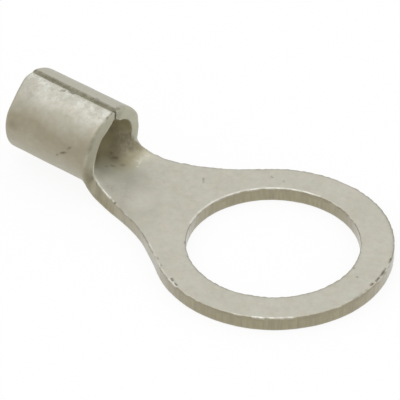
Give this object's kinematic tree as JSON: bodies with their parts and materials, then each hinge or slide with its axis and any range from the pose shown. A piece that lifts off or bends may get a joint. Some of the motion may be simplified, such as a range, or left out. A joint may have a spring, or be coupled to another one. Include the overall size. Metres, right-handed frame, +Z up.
{
  "type": "uninsulated ring terminal",
  "caption": "Uninsulated ring terminal, tinned copper, with a flat ring for an M8 stud and a short rolled wire barrel with an open butted seam",
  "frame": {"origin": "centre of the stud hole on the flat underside of the ring", "axes": "+X from the wire barrel towards the ring's tip, +Y to the left, +Z up out of the ring's top face, on the side of the barrel's seam"},
  "size_m": [0.0207, 0.0116, 0.0045],
  "materials": {
    "tinned_copper": "matt electro-tin plating over copper, warm grey, slightly mottled and scuffed"
  },
  "bodies": {
    "root": {"ring_terminal": "tinned_copper"}
  },
  "joints": []
}
